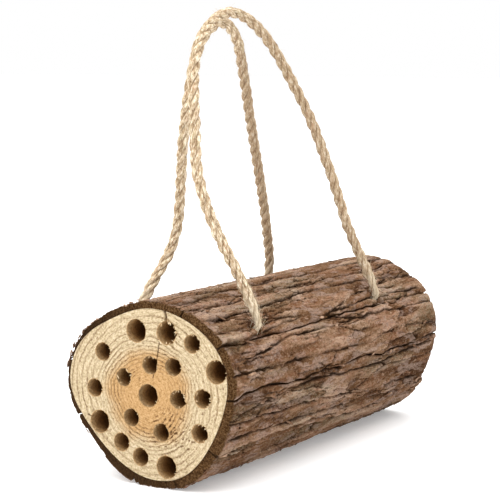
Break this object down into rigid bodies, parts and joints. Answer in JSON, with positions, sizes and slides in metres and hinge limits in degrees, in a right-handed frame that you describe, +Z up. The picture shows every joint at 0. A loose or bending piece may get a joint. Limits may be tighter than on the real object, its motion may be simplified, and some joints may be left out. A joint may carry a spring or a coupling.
{
  "type": "insect hotel",
  "caption": "Bark-covered log whose front end is drilled with nest holes for solitary bees, hung or carried by a rope loop on each flank.",
  "frame": {"origin": "under the middle of the log, on the surface that it lies on", "axes": "+Y along the log from its drilled front end to its rear end, +Z up, +X to the right as seen from the drilled end"},
  "size_m": [0.1088, 0.24, 0.2505],
  "materials": {
    "wood": "matte",
    "bark": "rough",
    "rope": "matte",
    "glue": "satin"
  },
  "bodies": {
    "log": {"log_core": "wood", "glue_plugs": "glue", "bark_strip_01": "bark", "bark_strip_02": "bark", "bark_strip_03": "bark", "bark_strip_04": "bark", "bark_strip_05": "bark", "bark_strip_06": "bark", "bark_strip_07": "bark", "bark_strip_08": "bark", "bark_strip_09": "bark", "bark_strip_10": "bark", "rope_end_right_front": "rope", "rope_end_right_rear": "rope", "rope_end_left_front": "rope", "rope_end_left_rear": "rope"},
    "right_loop": {"rope_loop_right": "rope"},
    "left_loop": {"rope_loop_left": "rope"}
  },
  "joints": [
    {"name": "right_loop_swing", "type": "hinge", "parent": "log", "child": "right_loop", "pos_m": [0.04312, -0.0145, 0.08495], "axis": [0, 1, 0], "range_deg": [0, 126]},
    {"name": "left_loop_swing", "type": "hinge", "parent": "log", "child": "left_loop", "pos_m": [-0.04291, -0.00175, 0.08065], "axis": [0, -1, 0], "range_deg": [0, 124]}
  ]
}
